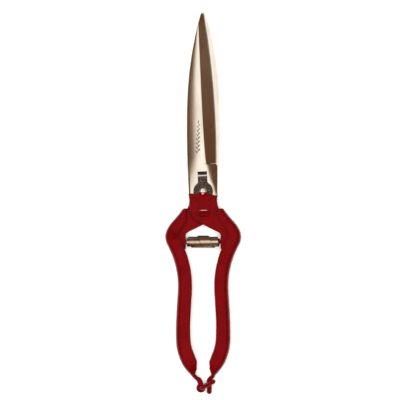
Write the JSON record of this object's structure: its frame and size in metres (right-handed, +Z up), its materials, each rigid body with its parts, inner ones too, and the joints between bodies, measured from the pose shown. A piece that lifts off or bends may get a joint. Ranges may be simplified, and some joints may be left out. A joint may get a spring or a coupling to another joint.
{
  "type": "floral snips",
  "caption": "Long-bladed one-hand garden snips: two crossed steel blades, vinyl-dipped channel handles, a volute spring and a wire-loop catch.",
  "frame": {"origin": "centre of the closed snips' outline, on the surface that they lie on", "axes": "+Y towards the blade tips, +Z up out of the front face, which carries the pin's head, +X to the right of a viewer of the front face"},
  "size_m": [0.0626, 0.315, 0.0116],
  "materials": {
    "blade_steel": "ground and polished",
    "fastener_steel": "bright",
    "lock_plate_steel": "blackened, mottled",
    "handle_steel": "dipped",
    "red_vinyl": "glossy dipped vinyl",
    "spring_steel": "bright strip"
  },
  "bodies": {
    "right_side": {"front_blade": "blade_steel", "pivot_pin": "fastener_steel", "lock_plate": "lock_plate_steel", "rear_washer": "fastener_steel", "wave_washer": "fastener_steel", "pivot_nut": "fastener_steel", "right_handle": "handle_steel", "right_tang_rivets": "fastener_steel", "right_vinyl_grip": "red_vinyl", "volute_spring": "spring_steel"},
    "left_side": {"rear_blade": "blade_steel", "left_handle": "handle_steel", "left_tang_rivets": "fastener_steel", "left_vinyl_grip": "red_vinyl"},
    "catch_loop": {"catch_loop": "red_vinyl"}
  },
  "joints": [
    {"name": "blade_pivot", "type": "hinge", "parent": "right_side", "child": "left_side", "pos_m": [0, 0.0095, 0.0058], "axis": [0, 0, -1], "range_deg": [0, 22], "deforming": ["volute_spring"]},
    {"name": "catch_swing", "type": "hinge", "parent": "left_side", "child": "catch_loop", "pos_m": [-0.0019, -0.1527, 0.0058], "axis": [0, 0, -1], "range_deg": [0, 100]}
  ]
}
